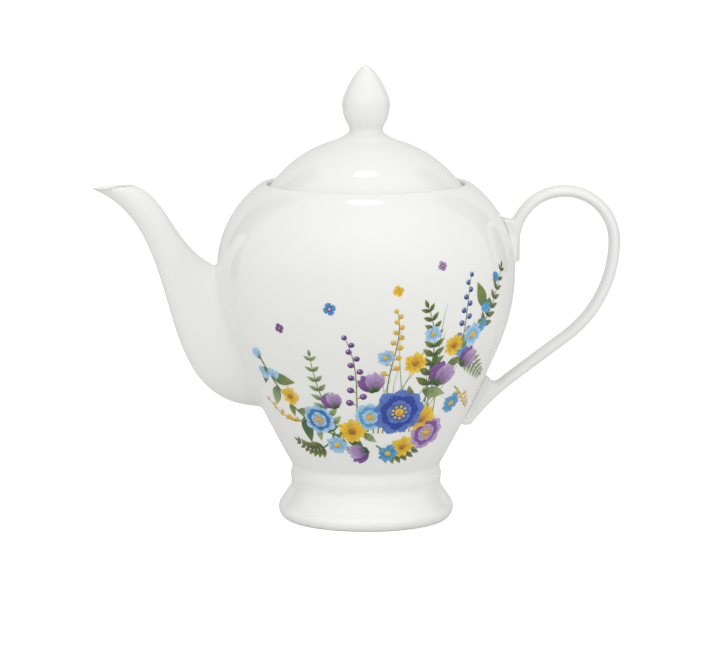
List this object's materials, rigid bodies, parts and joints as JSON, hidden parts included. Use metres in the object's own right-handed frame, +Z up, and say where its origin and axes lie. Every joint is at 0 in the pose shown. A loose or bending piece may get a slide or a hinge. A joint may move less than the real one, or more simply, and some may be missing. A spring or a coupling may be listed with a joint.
{
  "type": "porcelain teapot",
  "caption": "Glazed porcelain teapot with a bulging body on a flared foot, a curved spout, a looped strap handle and a domed lift-off lid with a bud knob.",
  "frame": {"origin": "centre of the foot's standing ring, on the plane the pot stands on", "axes": "+Z up along the pot's axis, +X toward the handle, -X toward the spout"},
  "size_m": [0.2365, 0.134, 0.205],
  "materials": {
    "white_glaze": "gloss",
    "bare_porcelain": "matte",
    "floral_transfer": "gloss"
  },
  "bodies": {
    "pot": {"pot_body": "white_glaze", "foot": "white_glaze", "spout": "white_glaze", "handle": "white_glaze"},
    "lid": {"lid": "white_glaze", "lid_knob": "white_glaze"}
  },
  "joints": [
    {"name": "lid_lift", "type": "slide", "parent": "pot", "child": "lid", "axis": [0, 0, 1], "range_m": [0, 0.1]}
  ]
}
